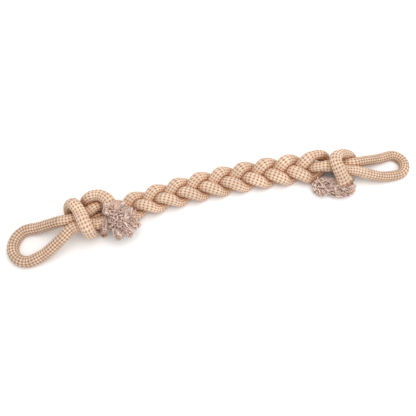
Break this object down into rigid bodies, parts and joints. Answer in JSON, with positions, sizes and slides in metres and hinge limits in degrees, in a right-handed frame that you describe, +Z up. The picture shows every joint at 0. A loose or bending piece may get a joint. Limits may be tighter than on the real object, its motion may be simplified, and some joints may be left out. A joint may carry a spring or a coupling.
{
  "type": "rope tug toy",
  "caption": "Dog tug toy plaited from one folded jacketed cotton rope, with a loop handle at each end, wound knots and frayed tassels; it bends, and its loops and tails swing.",
  "frame": {"origin": "middle of the toy's footprint, on the surface that it lies on", "axes": "+X along the plait from the left loop to the right loop, +Y across it away from the tassels, +Z up"},
  "size_m": [0.5188, 0.0794, 0.0429],
  "materials": {
    "cotton_cover": "matt braided cotton, tan and cream yarns",
    "cotton_core": "loose reclaimed cotton yarn, white, grey and a little pink"
  },
  "bodies": {
    "plait_middle": {"plait_middle_strand_a_cover": "cotton_cover", "plait_middle_strand_a_core": "cotton_core", "plait_middle_strand_b_cover": "cotton_cover", "plait_middle_strand_b_core": "cotton_core", "plait_middle_strand_c_cover": "cotton_cover", "plait_middle_strand_c_core": "cotton_core"},
    "plait_left": {"plait_left_strand_a_cover": "cotton_cover", "plait_left_strand_a_core": "cotton_core", "plait_left_strand_b_cover": "cotton_cover", "plait_left_strand_b_core": "cotton_core", "plait_left_strand_c_cover": "cotton_cover", "plait_left_strand_c_core": "cotton_core"},
    "plait_right": {"plait_right_strand_a_cover": "cotton_cover", "plait_right_strand_a_core": "cotton_core", "plait_right_strand_b_cover": "cotton_cover", "plait_right_strand_b_core": "cotton_core", "plait_right_strand_c_cover": "cotton_cover", "plait_right_strand_c_core": "cotton_core"},
    "left_knot": {"left_knot_leg_a_cover": "cotton_cover", "left_knot_leg_a_core": "cotton_core", "left_knot_leg_b_cover": "cotton_cover", "left_knot_leg_b_core": "cotton_core", "left_knot_turns_cover": "cotton_cover", "left_knot_turns_core": "cotton_core"},
    "right_knot": {"right_knot_leg_b_cover": "cotton_cover", "right_knot_leg_b_core": "cotton_core", "right_knot_leg_c_cover": "cotton_cover", "right_knot_leg_c_core": "cotton_core", "right_knot_turns_cover": "cotton_cover", "right_knot_turns_core": "cotton_core"},
    "left_loop": {"left_loop_cover": "cotton_cover", "left_loop_core": "cotton_core"},
    "right_loop": {"right_loop_cover": "cotton_cover", "right_loop_core": "cotton_core"},
    "left_tail": {"left_tail_cover": "cotton_cover", "left_tassel": "cotton_core"},
    "right_tail": {"right_tail_cover": "cotton_cover", "right_tassel": "cotton_core"}
  },
  "joints": [
    {"name": "plait_left_bend", "type": "hinge", "parent": "plait_middle", "child": "plait_left", "pos_m": [-0.02624, 0.0217, 0.0108], "axis": [0, 0, 1], "range_deg": [-25, 25]},
    {"name": "plait_right_bend", "type": "hinge", "parent": "plait_middle", "child": "plait_right", "pos_m": [0.03376, 0.0217, 0.0108], "axis": [0, 0, 1], "range_deg": [-25, 25]},
    {"name": "left_knot_lift", "type": "hinge", "parent": "plait_left", "child": "left_knot", "pos_m": [-0.08324, 0.01768, 0.01275], "axis": [-0.1042, 0.9946, 0], "range_deg": [-25, 35]},
    {"name": "right_knot_lift", "type": "hinge", "parent": "plait_right", "child": "right_knot", "pos_m": [0.09076, 0.01768, 0.01275], "axis": [-0.1042, -0.9946, 0], "range_deg": [-25, 35]},
    {"name": "left_loop_swing", "type": "hinge", "parent": "left_knot", "child": "left_loop", "pos_m": [-0.19349, 0.00254, 0.02007], "axis": [-0.0994, 0.9951, 0], "range_deg": [-35, 45]},
    {"name": "right_loop_swing", "type": "hinge", "parent": "right_knot", "child": "right_loop", "pos_m": [0.20101, -0.00571, 0.01397], "axis": [-0.0994, -0.9951, 0], "range_deg": [-35, 45]},
    {"name": "left_tail_lift", "type": "hinge", "parent": "left_knot", "child": "left_tail", "pos_m": [-0.12743, 0.01823, 0.03642], "axis": [-1, 0, 0], "range_deg": [0, 40]},
    {"name": "right_tail_lift", "type": "hinge", "parent": "right_knot", "child": "right_tail", "pos_m": [0.15963, -0.0115, 0.02786], "axis": [-1, 0, 0], "range_deg": [0, 40]}
  ]
}
